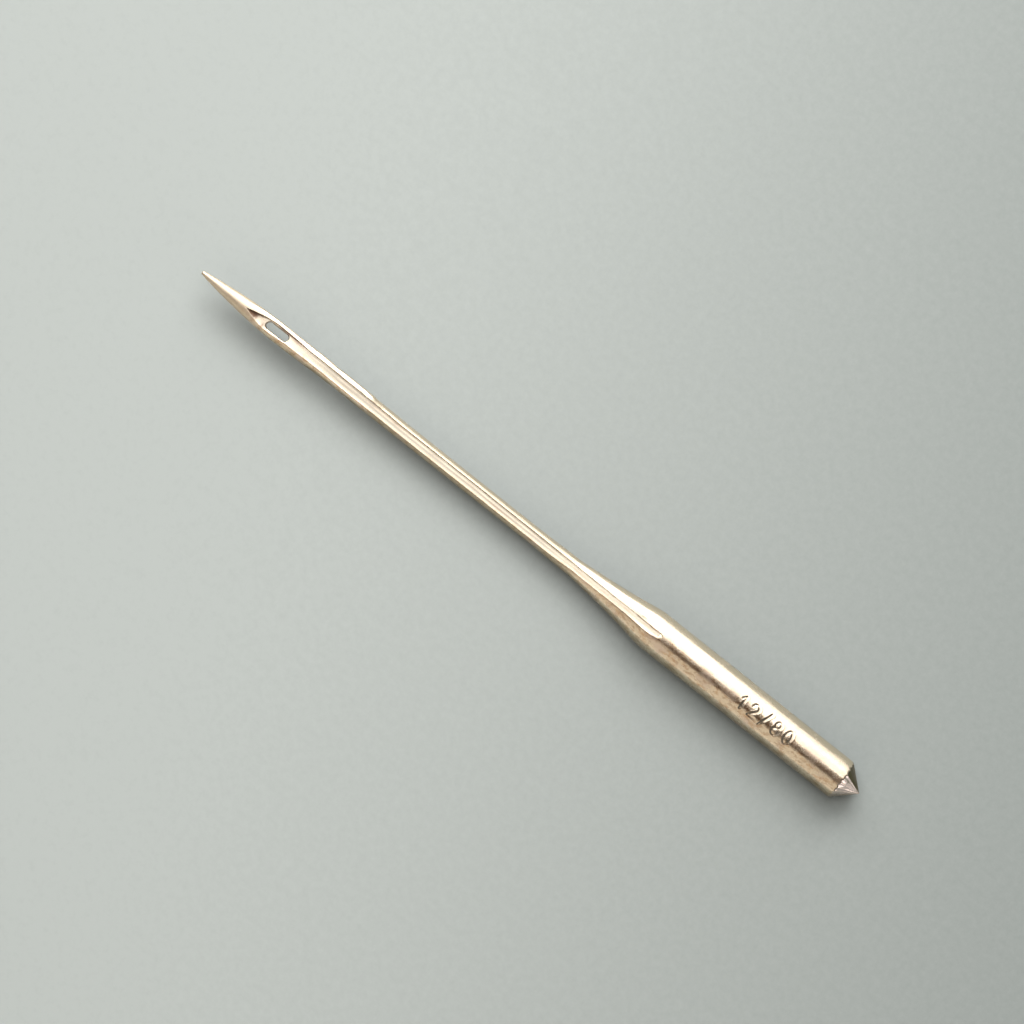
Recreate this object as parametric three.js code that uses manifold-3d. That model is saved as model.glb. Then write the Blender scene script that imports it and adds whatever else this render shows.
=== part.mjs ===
// Household sewing machine needle with a flat-sided shank, in millimetres.
// It lies on the flat of its shank with the long groove up, as it lies on a table.
// +X runs along the needle towards its tip, +Z is up, and the origin is the middle of the shank's flat.
// The needle is one piece of plated steel wire. Its named sections meet face to face and never move.
import * as THREE from "three";
import { mergeVertices } from "three/addons/utils/BufferGeometryUtils.js";
import Module from "manifold-3d";

// Whole needle
const OVERALL_LENGTH = 39.0;
const BUTT_TO_EYE = 33.9;

// Shank, which the needle clamp holds by its flat
const SHANK_RADIUS = 1.0;
const SHANK_OVER_FLAT = 1.6;
const SHANK_LENGTH = 11.4;
const BUTT_CONE_HEIGHT = 1.04;

// Shoulder, a slightly hollow taper between shank and blade, given by the two pulls of its curve
const SHOULDER_LENGTH = 4.5;
const SHOULDER_STEEP_LENGTH = 0.75;
const SHOULDER_STEEP_RADIUS = 0.83;
const SHOULDER_LOW_LENGTH = 1.65;
const SHOULDER_LOW_RADIUS = 0.6;
const SHOULDER_ROUNDING = 0.45;

// Blade
const BLADE_RADIUS = 0.415;
const BLADE_ROOT_RADIUS = 0.45;
const BLADE_ROOT_LENGTH = 2.4;

// Eye, and the wire round it, which is pressed wider and flatter
const EYE_LENGTH = 1.24;
const EYE_WIDTH = 0.36;
const EYE_ZONE_RADIUS = 0.508;
const EYE_ZONE_FLATNESS = 0.74;
const EYE_SWELL_LENGTH = 3.0;
const EYE_PRESS_TOWARDS_TIP = 3.44;

// Point, an ogive given by the two pulls of its curve
const POINT_LENGTH = 4.3;
const OGIVE_PULL_LENGTH = 1.2;
const OGIVE_WAIST_RADIUS = 0.29;
const TIP_RADIUS = 0.1;
const TIP_ROUND_PULL = 0.085;

// Long groove in the front, from the shoulder to a pointed pocket below the eye
const GROOVE_WIDTH = 0.37;
const GROOVE_DEPTH = 0.27;
const GROOVE_PAST_SHOULDER = 0.7;
const GROOVE_END_DEPTH = 0.08;
const POCKET_WIDTH = 0.6;
const POCKET_BELOW_EYE = 1.22;
const POCKET_LEAD_OUT = 1.5;
const POCKET_FLOOR_ABOVE_AXIS = 0.09;

// Back of the blade: the scarf above the eye, and the short groove that runs through the eye into it
const SCARF_ABOVE_EYE = 0.3;
const SCARF_LENGTH = 6.2;
const SCARF_DEPTH = 0.2;
const SCARF_ENTRY = 1.6;
const SHORT_GROOVE_WIDTH = 0.46;
const SHORT_GROOVE_BELOW_EYE = 0.9;
const SHORT_GROOVE_FLOOR_BELOW_AXIS = 0.25;

// Facets, and how far a cut reaches past what it cuts
const FACETS_ROUND = 48;
const FACETS_CURVE = 10;
const CUT_MARGIN = 1.5;
const SECTION_CLEARANCE = 0.3;
const WALL_FOOT_CLEARANCE = 0.005;
const WELD_DISTANCE = 1e-5;

// Stations along the needle, worked out from the sizes above
const AXIS_HEIGHT = SHANK_OVER_FLAT - SHANK_RADIUS;
const BUTT_END = -(BUTT_CONE_HEIGHT + SHANK_LENGTH / 2);
const SHANK_BACK = BUTT_END + BUTT_CONE_HEIGHT;
const SHANK_FRONT = SHANK_BACK + SHANK_LENGTH;
const BLADE_BACK = SHANK_FRONT + SHOULDER_LENGTH;
const TIP = BUTT_END + OVERALL_LENGTH;
const POINT_BACK = TIP - POINT_LENGTH;
const EYE_BACK = BUTT_END + BUTT_TO_EYE;
const EYE_FRONT = EYE_BACK + EYE_LENGTH;
const EYE_MIDDLE = (EYE_BACK + EYE_FRONT) / 2;
const GROOVE_BACK = SHANK_FRONT - GROOVE_PAST_SHOULDER;
const POCKET_TIP = EYE_FRONT + POCKET_BELOW_EYE;
const SCARF_FRONT = EYE_BACK - SCARF_ABOVE_EYE;
const SCARF_BACK = SCARF_FRONT - SCARF_LENGTH;

const wasm = await Module();
wasm.setup();

// A three.js geometry as a solid that can be cut and joined.
function solidFrom(geometry) {
  const bare = geometry.clone();
  bare.deleteAttribute("normal");
  bare.deleteAttribute("uv");
  const merged = mergeVertices(bare, WELD_DISTANCE);
  return new wasm.Manifold(
    new wasm.Mesh({
      numProp: 3,
      vertProperties: new Float32Array(merged.attributes.position.array),
      triVerts: new Uint32Array(merged.index.array),
    }),
  );
}

// A solid back as a three.js geometry with flat-shaded facets.
function geometryFrom(solid) {
  const mesh = solid.getMesh();
  const geometry = new THREE.BufferGeometry();
  geometry.setAttribute("position", new THREE.BufferAttribute(mesh.vertProperties, 3));
  geometry.setIndex(new THREE.BufferAttribute(mesh.triVerts, 1));
  const facets = geometry.toNonIndexed();
  facets.computeVertexNormals();
  return facets;
}

// A plan outline drawn in X and Y, raised from one height to another.
function raisedOutline(shape, bottom, top) {
  const geometry = new THREE.ExtrudeGeometry(shape, {
    depth: top - bottom,
    bevelEnabled: false,
    curveSegments: FACETS_CURVE,
  });
  geometry.translate(0, 0, bottom);
  return solidFrom(geometry);
}

// A side outline drawn in X and Z, widened to both sides of the needle's axis.
function widenedOutline(shape) {
  const width = 2 * (SHANK_RADIUS + CUT_MARGIN);
  const geometry = new THREE.ExtrudeGeometry(shape, {
    depth: width,
    bevelEnabled: false,
    curveSegments: FACETS_CURVE,
  });
  geometry.rotateX(Math.PI / 2);
  geometry.translate(0, width / 2, 0);
  return solidFrom(geometry);
}

// Half outline of the swaged wire: radius against place along the needle, from butt to tip.
function blankOutline() {
  const swellBack = EYE_BACK - EYE_SWELL_LENGTH;
  const outline = new THREE.Path();
  outline.moveTo(0, BUTT_END);
  outline.lineTo(SHANK_RADIUS, SHANK_BACK);
  outline.lineTo(SHANK_RADIUS, SHANK_FRONT);
  outline.bezierCurveTo(
    SHOULDER_STEEP_RADIUS,
    SHANK_FRONT + SHOULDER_STEEP_LENGTH,
    SHOULDER_LOW_RADIUS,
    BLADE_BACK - SHOULDER_LOW_LENGTH,
    BLADE_ROOT_RADIUS,
    BLADE_BACK,
  );
  outline.lineTo(BLADE_ROOT_RADIUS, BLADE_BACK + SHOULDER_ROUNDING);
  outline.lineTo(BLADE_RADIUS, BLADE_BACK + BLADE_ROOT_LENGTH);
  outline.lineTo(BLADE_RADIUS, swellBack);
  outline.bezierCurveTo(
    BLADE_RADIUS,
    swellBack + EYE_SWELL_LENGTH / 2,
    EYE_ZONE_RADIUS,
    EYE_BACK - EYE_SWELL_LENGTH / 3,
    EYE_ZONE_RADIUS,
    EYE_MIDDLE,
  );
  outline.bezierCurveTo(
    EYE_ZONE_RADIUS,
    POINT_BACK + OGIVE_PULL_LENGTH,
    OGIVE_WAIST_RADIUS,
    TIP - OGIVE_PULL_LENGTH,
    TIP_RADIUS,
    TIP - TIP_RADIUS,
  );
  outline.quadraticCurveTo(TIP_ROUND_PULL, TIP, 0, TIP);
  return outline.getPoints(FACETS_CURVE);
}

// Thickness of the wire front to back, as a share of its width: least at the eye, full further off.
function flatnessAt(x) {
  const reach = x < EYE_MIDDLE ? EYE_SWELL_LENGTH + EYE_LENGTH : EYE_PRESS_TOWARDS_TIP;
  const away = Math.min(Math.abs(x - EYE_MIDDLE) / reach, 1);
  const pressed = 0.5 + 0.5 * Math.cos(Math.PI * away);
  return 1 - (1 - EYE_ZONE_FLATNESS) * pressed;
}

// The blank: a revolved wire, pressed flatter round the eye.
function blank() {
  const geometry = new THREE.LatheGeometry(blankOutline(), FACETS_ROUND);
  geometry.rotateZ(-Math.PI / 2);
  const places = geometry.attributes.position;
  for (let i = 0; i < places.count; i += 1) {
    places.setZ(i, places.getZ(i) * flatnessAt(places.getX(i)));
  }
  geometry.translate(0, 0, AXIS_HEIGHT);
  return solidFrom(geometry);
}

// The flat along the shank: all that lies below its plane, as far as the taper reaches down to it.
function flatCut() {
  const shape = new THREE.Shape();
  shape.moveTo(BUTT_END - CUT_MARGIN, -CUT_MARGIN);
  shape.lineTo(BLADE_BACK, -CUT_MARGIN);
  shape.lineTo(BLADE_BACK, 0);
  shape.lineTo(BUTT_END - CUT_MARGIN, 0);
  return widenedOutline(shape);
}

// A closed outline from its half on one side of the axis, which starts and ends on the axis.
function mirroredOutline(halfOutline) {
  const side = halfOutline.getPoints(FACETS_CURVE);
  const inner = side.slice(1, -1).reverse();
  return new THREE.Shape([...side, ...inner.map((point) => new THREE.Vector2(point.x, -point.y))]);
}

// The long groove from above: round at the shoulder, parallel along the blade, wider at the eye
// and pointed below it.
function groovePlan() {
  const half = GROOVE_WIDTH / 2;
  const pocketHalf = POCKET_WIDTH / 2;
  const narrow = EYE_BACK - POCKET_LEAD_OUT;
  const bend = POCKET_LEAD_OUT / 2;
  const outline = new THREE.Path();
  outline.moveTo(GROOVE_BACK, 0);
  outline.absarc(GROOVE_BACK + half, 0, half, Math.PI, Math.PI / 2, true);
  outline.lineTo(narrow, half);
  outline.bezierCurveTo(narrow + bend, half, EYE_BACK - bend, pocketHalf, EYE_MIDDLE, pocketHalf);
  outline.quadraticCurveTo(EYE_FRONT, pocketHalf, POCKET_TIP, 0);
  return mirroredOutline(outline);
}

// The long groove from the side: all that lies above its floor.
function grooveSide() {
  const top = AXIS_HEIGHT + SHANK_RADIUS + CUT_MARGIN;
  const pocketFloor = AXIS_HEIGHT + POCKET_FLOOR_ABOVE_AXIS;
  const bladeFloor = AXIS_HEIGHT + BLADE_RADIUS - GROOVE_DEPTH;
  const rootFloor = AXIS_HEIGHT + BLADE_ROOT_RADIUS - GROOVE_DEPTH;
  const endFloor = AXIS_HEIGHT + SHANK_RADIUS - GROOVE_END_DEPTH;
  const shape = new THREE.Shape();
  shape.moveTo(GROOVE_BACK - CUT_MARGIN, top);
  shape.lineTo(GROOVE_BACK - CUT_MARGIN, endFloor);
  shape.lineTo(GROOVE_BACK, endFloor);
  shape.lineTo(BLADE_BACK + SHOULDER_ROUNDING, rootFloor);
  shape.lineTo(BLADE_BACK + BLADE_ROOT_LENGTH, bladeFloor);
  shape.lineTo(EYE_BACK - POCKET_LEAD_OUT, bladeFloor);
  shape.quadraticCurveTo(EYE_BACK - POCKET_LEAD_OUT / 2, bladeFloor, EYE_BACK, pocketFloor);
  shape.lineTo(EYE_FRONT, pocketFloor);
  shape.quadraticCurveTo(POCKET_TIP, pocketFloor, POCKET_TIP, AXIS_HEIGHT + EYE_ZONE_RADIUS);
  shape.lineTo(POCKET_TIP, top);
  return shape;
}

// The long groove, as what lies inside its outline both from above and from the side.
function longGrooveCut() {
  const high = AXIS_HEIGHT + SHANK_RADIUS + CUT_MARGIN;
  return raisedOutline(groovePlan(), AXIS_HEIGHT, high).intersect(widenedOutline(grooveSide()));
}

// The scarf: a long hollow in the back, steep near the eye and shallow towards the blade.
function scarfCut() {
  const back = AXIS_HEIGHT - BLADE_RADIUS;
  const deepest = back + SCARF_DEPTH;
  const entry = SCARF_FRONT - SCARF_ENTRY;
  const middle = SCARF_FRONT - SCARF_LENGTH / 2;
  const shape = new THREE.Shape();
  shape.moveTo(SCARF_FRONT, -CUT_MARGIN);
  shape.lineTo(SCARF_FRONT, back);
  shape.quadraticCurveTo(SCARF_FRONT - SCARF_ENTRY / 2, deepest, entry, deepest);
  shape.bezierCurveTo(middle, deepest, SCARF_BACK + SCARF_ENTRY, back, SCARF_BACK, back);
  shape.lineTo(SCARF_BACK, -CUT_MARGIN);
  return widenedOutline(shape);
}

// The short groove in the back, pointed below the eye and running out in the scarf.
function shortGrooveCut() {
  const half = SHORT_GROOVE_WIDTH / 2;
  const backEnd = SCARF_FRONT - SCARF_ENTRY;
  const outline = new THREE.Path();
  outline.moveTo(backEnd, 0);
  outline.lineTo(backEnd, half);
  outline.lineTo(EYE_MIDDLE, half);
  outline.quadraticCurveTo(EYE_FRONT, half, EYE_FRONT + SHORT_GROOVE_BELOW_EYE, 0);
  const floor = AXIS_HEIGHT - SHORT_GROOVE_FLOOR_BELOW_AXIS;
  return raisedOutline(mirroredOutline(outline), -CUT_MARGIN, floor);
}

// The eye: a slot with round ends, pierced from front to back.
function eyeCut() {
  const half = EYE_WIDTH / 2;
  const outline = new THREE.Path();
  outline.moveTo(EYE_BACK, 0);
  outline.absarc(EYE_BACK + half, 0, half, Math.PI, Math.PI / 2, true);
  outline.absarc(EYE_FRONT - half, 0, half, Math.PI / 2, 0, true);
  return raisedOutline(mirroredOutline(outline), -CUT_MARGIN, AXIS_HEIGHT + CUT_MARGIN);
}

// The needle as one solid.
function wholeNeedle() {
  return blank()
    .subtract(flatCut())
    .subtract(longGrooveCut())
    .subtract(scarfCut())
    .subtract(shortGrooveCut())
    .subtract(eyeCut());
}

// The part of the needle between two stations, two places across and two heights.
function section(solid, [back, front], [right, left], [bottom, top]) {
  const geometry = new THREE.BoxGeometry(front - back, left - right, top - bottom);
  geometry.translate((back + front) / 2, (right + left) / 2, (bottom + top) / 2);
  return solid.intersect(solidFrom(geometry));
}

// The needle's named sections, from butt to tip. Beside the blade's groove and beside the eye's straight
// sides, the wire is a left and a right wall.
function sections(solid) {
  const reach = SHANK_RADIUS + CUT_MARGIN;
  const shoulderStart = GROOVE_BACK - SECTION_CLEARANCE;
  const bladeStart = BLADE_BACK + SHOULDER_ROUNDING;
  const scarfStart = SCARF_BACK - SECTION_CLEARANCE;
  const eyeStart = EYE_BACK + EYE_WIDTH / 2;
  const pointStart = EYE_FRONT - EYE_WIDTH / 2;
  const bottom = AXIS_HEIGHT - reach;
  const top = AXIS_HEIGHT + reach;
  const wallFoot = AXIS_HEIGHT + BLADE_ROOT_RADIUS - GROOVE_DEPTH + WALL_FOOT_CLEARANCE;
  const blade = [bladeStart, scarfStart];
  const eye = [eyeStart, pointStart];
  const left = [0, reach];
  const right = [-reach, 0];
  const wide = [-reach, reach];
  const tall = [bottom, top];
  return {
    shank: section(solid, [BUTT_END - CUT_MARGIN, shoulderStart], wide, tall),
    shoulder: section(solid, [shoulderStart, bladeStart], wide, tall),
    blade: section(solid, blade, wide, [bottom, wallFoot]),
    groove_wall_left: section(solid, blade, left, [wallFoot, top]),
    groove_wall_right: section(solid, blade, right, [wallFoot, top]),
    scarf: section(solid, [scarfStart, eyeStart], wide, tall),
    eye_wall_left: section(solid, eye, left, tall),
    eye_wall_right: section(solid, eye, right, tall),
    point: section(solid, [pointStart, TIP + CUT_MARGIN], wide, tall),
  };
}

const needle = new THREE.Group();
const plating = new THREE.MeshStandardMaterial({ color: 0xd9c3a5, roughness: 0.25, metalness: 1 });
for (const [name, solid] of Object.entries(sections(wholeNeedle()))) {
  const section = new THREE.Mesh(geometryFrom(solid), plating);
  section.name = name;
  needle.add(section);
}

export default needle;
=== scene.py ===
"""Sewing machine needle on its flat: fine surface, aged nickel finish, table, light and camera.

The surface is worked out in millimetres and put into its mesh in metres. +X runs along the needle to its
tip, +Z is up, out of the long groove, and the origin is the middle of the shank's flat. An angle round the
needle is in radians, from straight up towards +Y. A pair that ease reads says where its share is 0 and
where it is 1.
"""

import logging
import math
from dataclasses import dataclass, field
from enum import Enum

import bpy
import numpy as np
from mathutils import Matrix, Vector


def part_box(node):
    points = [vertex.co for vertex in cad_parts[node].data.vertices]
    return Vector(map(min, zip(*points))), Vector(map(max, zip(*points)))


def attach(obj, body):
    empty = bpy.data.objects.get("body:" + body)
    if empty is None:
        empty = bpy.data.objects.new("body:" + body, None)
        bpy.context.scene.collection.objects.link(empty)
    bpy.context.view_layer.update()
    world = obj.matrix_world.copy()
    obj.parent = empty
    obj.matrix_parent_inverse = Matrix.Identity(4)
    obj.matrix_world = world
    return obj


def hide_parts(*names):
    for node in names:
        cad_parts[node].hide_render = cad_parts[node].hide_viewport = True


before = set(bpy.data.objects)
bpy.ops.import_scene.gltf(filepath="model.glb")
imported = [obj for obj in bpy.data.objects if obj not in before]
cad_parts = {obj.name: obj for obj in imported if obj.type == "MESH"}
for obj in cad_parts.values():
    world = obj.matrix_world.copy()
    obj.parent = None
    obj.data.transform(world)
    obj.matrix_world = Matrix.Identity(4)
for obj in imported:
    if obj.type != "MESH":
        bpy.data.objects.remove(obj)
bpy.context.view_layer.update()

MILLIMETRE = 0.001
LOG = logging.getLogger("needle")

# How far sections start before groove and scarf, and how far the shoulder's runs on into the blade
SECTION_CLEARANCE = 0.3
SHOULDER_ROUNDING = 0.45

# Height of a cut where there is none, least half width of a groove, and weld steps in a millimetre
FAR_BELOW = -1.0
LEAST_HALF = 0.012
WELD_STEPS = 1e6

Array = np.ndarray
Pair = tuple[float, float]
Triple = tuple[float, float, float]
Colour = tuple[float, float, float, float]
Socket = bpy.types.NodeSocket


class Side(Enum):
    """The two halves of the needle, as the sign of Y."""

    LEFT = 1.0
    RIGHT = -1.0


class Share(Enum):
    """What the finish reads at each point of the needle, by the name of its attribute."""

    RECESS = "recess"
    MARK = "mark"
    DIRT_AND_SHADE = "dirt_and_shade"
    DARKENING = "darkening"
    GROUND = "ground"
    MOTTLED = "mottled"


def ease(places: Array, offsets: Pair, at: float | Array = 0.0) -> Array:
    """Share that eases from 0 at one offset from a place to 1 at the other: 3s² - 2s³.

    Args:
        places: places to work it out at.
        offsets: where the share is 0 and where it is 1, counted from at.
        at: place that the offsets count from.

    Returns:
        The shares, in the shape of places.
    """
    start = at + offsets[0]
    stop = at + offsets[1]
    share = np.clip((places - start) / (stop - start), 0.0, 1.0)
    return share * share * (3.0 - 2.0 * share)


def bell(places: Array, middle: float, width: float) -> Array:
    """Bell curve that is 1 at its middle: e to the power of minus the square of distance over width."""
    return np.exp(-(((places - middle) / width) ** 2))


def lower_of(first: Array, second: Array, rounding: float) -> Array:
    """Lower of two heights, crossing rounded: half of their sum less the root of gap² + rounding²."""
    return 0.5 * (first + second - np.sqrt((first - second) ** 2 + rounding**2))


def higher_of(first: Array, second: Array, rounding: float) -> Array:
    """Higher of two heights, crossing rounded, as lower_of turned over."""
    return -lower_of(-first, -second, rounding)


def curve(*pulls: Pair, count: int = 60) -> Array:
    """Points of a curve drawn by its pulls: the sum of each pull times its binomial weight.

    Args:
        pulls: start, pulls and end of the curve.
        count: number of points.

    Returns:
        An array of count points.
    """
    share = np.linspace(0.0, 1.0, count)[:, None]
    degree = len(pulls) - 1
    weights = [math.comb(degree, i) * share**i * (1.0 - share) ** (degree - i) for i in range(degree + 1)]
    return sum(weight * np.array(pull) for weight, pull in zip(weights, pulls))


def on_line(x: Array, line: Array, outside: float | None = None) -> Array:
    """Height of a line of points at places along the needle, and past its ends the one given, if any."""
    return np.interp(x, line[:, 0], line[:, 1], left=outside, right=outside)


@dataclass(frozen=True)
class Ripple:
    """An uneven wave: a sum of sines with drawn phases, each shorter and lower than the one before."""

    seed: int
    longest: float
    height: float
    sines: int = 5
    shorter: float = 1.7
    lower: float = 1.5

    def heights(self, places: Array) -> Array:
        """Heights of the wave, between about minus and plus its height.

        Args:
            places: places along the needle.

        Returns:
            The heights, in the shape of places.
        """
        draw = np.random.default_rng(self.seed)
        total = np.zeros_like(places)
        for step in range(self.sines):
            waves = places * self.shorter**step / self.longest + draw.random()
            total = total + np.sin(2.0 * np.pi * waves) / self.lower**step
        return self.height * total / 2.0


@dataclass(frozen=True)
class Band:
    """A stretch with soft ends. Each end is a pair that ease reads, counted from a place of its own."""

    rise: Pair
    fall: Pair

    def share(self, places: Array, start: float = 0.0, stop: float = 0.0) -> Array:
        """Rise counted from one place times fall counted from another."""
        return ease(places, self.rise, start) * ease(places, self.fall, stop)


@dataclass(frozen=True)
class Spot:
    """A soft spot: its strength, and the middle and width of its bell curves along and across."""

    strength: float
    along: Pair
    across: Pair

    def share(self, along: Array, across: Array) -> Array:
        """Strength times both bell curves."""
        return self.strength * bell(along, *self.along) * bell(across, *self.across)


@dataclass(frozen=True)
class Stations:
    """Places along the needle and its main radii, read from the frame's solids."""

    butt: float
    tip: float
    shank_radius: float
    axis: float
    groove_back: float
    blade_back: float
    scarf_back: float
    eye_back: float
    eye_front: float
    eye_half: float

    @classmethod
    def from_frame(cls) -> "Stations":
        """Works the stations out from the boxes of the needle's sections.

        Returns:
            The stations, in millimetres.
        """

        def corners(node: str) -> tuple[Array, Array]:
            """Lowest and highest corner of a section."""
            low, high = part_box(node)
            return np.array(low) / MILLIMETRE, np.array(high) / MILLIMETRE

        shank_low, shank_high = corners("shank")
        wall_low, wall_high = corners("eye_wall_left")
        return cls(
            butt=shank_low[0],
            tip=corners("point")[1][0],
            shank_radius=shank_high[1],
            axis=shank_high[2] - shank_high[1],
            groove_back=corners("shoulder")[0][0] + SECTION_CLEARANCE,
            blade_back=corners("blade")[0][0] - SHOULDER_ROUNDING,
            scarf_back=corners("scarf")[0][0] + SECTION_CLEARANCE,
            eye_back=wall_low[0] - wall_low[1],
            eye_front=wall_high[0] + wall_low[1],
            eye_half=wall_low[1],
        )

    @property
    def eye_middle(self) -> float:
        """Place of the eye's middle."""
        return 0.5 * (self.eye_back + self.eye_front)


@dataclass(frozen=True)
class ButtCone:
    """The ground cone that leads the needle into its clamp: fluted, a little skewed, dark on one side."""

    at: Stations
    height: float = 1.04
    rim: float = 0.03
    rim_blur: float = 0.02
    even_past_rim: Pair = (0.2, 0.5)
    flutes: int = 24
    first_flute: float = 0.28
    flute_depth: float = 0.07
    flute_share: float = 0.28
    slow_share: float = 0.22
    slow_waves: float = 7.0
    slow_start: float = 0.6
    skew: float = 0.06
    skewed: Band = Band((-0.5, -1.4), (-2.7, -1.8))
    bulge_height: float = 0.022
    bulge_length: float = 0.33
    first_bulge: float = 0.9
    first_bulge_width: float = 0.12
    bulged: Band = Band((-0.45, 0.0), (2.6, 2.0))
    streak: float = 0.25
    streak_waves: Pair = (17.0, 41.0)
    streak_starts: Pair = (0.4, 1.3)
    dark_band: Band = Band((-0.28, -0.38), (-2.05, -1.45))
    dark_thins: Pair = (-0.33, -1.45)
    dark_thinned: float = 0.25
    dark_spot: Spot = Spot(0.8, (-0.22, 0.07), (-0.14, 0.06))

    @property
    def end(self) -> float:
        """Place where the cone ends and the round shank starts."""
        return self.at.butt + self.height

    def outline(self) -> Array:
        """Radius against place: a straight cone up to the full radius of the shank."""
        return np.array([(self.at.butt, 0.0), (self.end, self.at.shank_radius)])

    def flute(self, turn: Array) -> Array:
        """Share of the cone's radius that grinding takes off: flutes, a slower wave and more on the right.

        Args:
            turn: angle round the axis.

        Returns:
            Shares of the radius.
        """
        wave = np.cos(self.flutes * (turn - self.first_flute))
        slow = np.sin(self.slow_waves * turn + self.slow_start)
        plain = self.flute_depth * (0.5 + self.flute_share * wave + self.slow_share * slow)
        return plain + self.skew * self.skewed.share(turn)

    def bulge(self, along: Array, turn: Array) -> Array:
        """Low swelling behind the rim in each flute that faces up: a half sine along, a fourth power round.

        Args:
            along: share of the way from the butt to the cone's end.
            turn: angle round the axis.

        Returns:
            Swelling as a share of the shank's radius.
        """
        share = np.clip((1.0 - along) / self.bulge_length, 0.0, 1.0)
        mouth = np.cos(0.5 * self.flutes * (turn - self.first_flute)) ** 4
        larger = 1.0 + self.first_bulge * bell(turn, self.first_flute, self.first_bulge_width)
        return self.bulge_height * larger * mouth * np.sin(np.pi * share) * self.bulged.share(turn)

    def ground_scale(self, x: Array, turn: Array) -> Array:
        """Share of the plain radius that grinding leaves: the lower of cone and shank, with a round rim.

        Args:
            x: places along the needle.
            turn: angle round the axis.

        Returns:
            Shares of the plain radius.
        """
        along = (x - self.at.butt) / self.height
        cone = along * (1.0 - self.flute(turn)) + self.bulge(along, turn)
        left = lower_of(1.0, cone, self.rim) / np.minimum(along, 1.0)
        past = ease(x, self.even_past_rim, self.end)
        return left + (1.0 - left) * past

    def on_cone(self, x: Array, turn: Array) -> Array:
        """Share that is 1 on the ground cone and 0 on the shank, along the rim that the flutes make."""
        rim = self.at.butt + self.height / (1.0 - self.flute(turn))
        return ease(x, (self.rim_blur, -self.rim_blur), rim)

    def ground(self, x: Array, turn: Array) -> Array:
        """Share of bare ground steel on the cone, in streaks from the rim to the point.

        Args:
            x: places along the needle.
            turn: angle round the axis.

        Returns:
            Shares of bare steel.
        """
        rounds = zip(self.streak_waves, self.streak_starts)
        coarse, fine = (np.sin(count * turn + start) for count, start in rounds)
        streak = 1.0 - self.streak + self.streak * coarse * fine
        return self.on_cone(x, turn) * streak

    def darkening(self, x: Array, turn: Array) -> Array:
        """Share of dark colour on the cone: full along one line, thinner round to another, and a spot.

        Args:
            x: places along the needle.
            turn: angle round the axis.

        Returns:
            Shares of dark colour.
        """
        thinner = 1.0 - self.dark_thinned * ease(turn, self.dark_thins)
        dark = self.dark_band.share(turn) * thinner
        spot = self.dark_spot.share(x - self.end, turn)
        return self.on_cone(x, turn) * np.maximum(dark, spot)


@dataclass(frozen=True)
class Shank:
    """The round shank with the flat along its back."""

    at: Stations
    start: float
    length: float = 11.4

    @property
    def front(self) -> float:
        """Place where the shank ends and the shoulder starts."""
        return self.start + self.length

    def flat(self, x: Array) -> Array:
        """Height of the flat: the table's level, as far as the shoulder reaches down to it."""
        return np.where(x < self.at.blade_back, 0.0, FAR_BELOW)


@dataclass(frozen=True)
class Shoulder:
    """The slightly hollow taper from shank to blade."""

    at: Stations
    start: float
    lead: float = 0.3
    bend: float = 0.5
    steep_length: float = 0.8
    steep_radius: float = 0.76
    low_length: float = 1.65
    low_radius: float = 0.6
    end_radius: float = 0.45

    def outline(self) -> Array:
        """Radius against place: one curve that bends away from the shank and runs out into the blade.

        Returns:
            Points of place and radius.
        """
        return curve(
            (self.start - self.lead, self.at.shank_radius),
            (self.start + self.bend, self.at.shank_radius),
            (self.start + self.steep_length, self.steep_radius),
            (self.at.blade_back - self.low_length, self.low_radius),
            (self.at.blade_back, self.end_radius),
        )


@dataclass(frozen=True)
class Blade:
    """The thin shaft, its swelling towards the eye and the flash that coining the scarf pressed out."""

    at: Stations
    root_radius: float = 0.45
    root_length: float = 2.4
    radius: float = 0.415
    swell_length: float = 3.0
    eye_radius: float = 0.495
    round_power: float = 2.0
    pressed_power: float = 2.5
    pressed: Band = Band((-0.7, 0.9), (1.4, 0.0))
    flash_width: float = 0.06
    flash_step: float = 1.65
    flash_low: float = 0.25
    flash_from: Pair = (-0.5, 0.7)
    flash_rise: Pair = (-0.2, 0.15)
    flash_to: Pair = (-0.1, -2.0)
    flash_waves: Ripple = Ripple(5, 1.9, 0.22)

    @property
    def step(self) -> float:
        """Place where the flash steps up to its full width."""
        return self.at.scarf_back + self.flash_step

    def edge_power(self, x: Array, y: Array) -> Array:
        """Power of the section's curve: 2 for an ellipse, more where the right edge is pressed up."""
        along = self.pressed.share(x, self.step, self.at.eye_front)
        return np.where(y < 0.0, self.round_power + self.pressed_power * along, self.round_power)

    def outline(self) -> Array:
        """Radius against place: a root that narrows to the shaft, then a soft swelling to the eye.

        Returns:
            Points of place and radius.
        """
        swell = self.at.eye_back - self.swell_length
        return np.vstack([
            [(self.at.blade_back + SHOULDER_ROUNDING, self.root_radius)],
            [(self.at.blade_back + self.root_length, self.radius)],
            curve(
                (swell, self.radius),
                (swell + self.swell_length / 2.0, self.radius),
                (self.at.eye_back - self.swell_length / 3.0, self.eye_radius),
                (self.at.eye_middle, self.eye_radius),
            ),
        ])

    def flash(self, x: Array) -> Array:
        """Extra width of the right side along the scarf: a low wavy ledge that steps up, then eases out.

        Args:
            x: places along the needle.

        Returns:
            Extra widths.
        """
        low = self.flash_low * ease(x, self.flash_from, self.at.scarf_back)
        high = (1.0 - self.flash_low) * ease(x, self.flash_rise, self.step)
        ledge = (low + high) * ease(x, self.flash_to, self.at.eye_back)
        return self.flash_width * ledge * (1.0 + self.flash_waves.heights(x))


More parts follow.
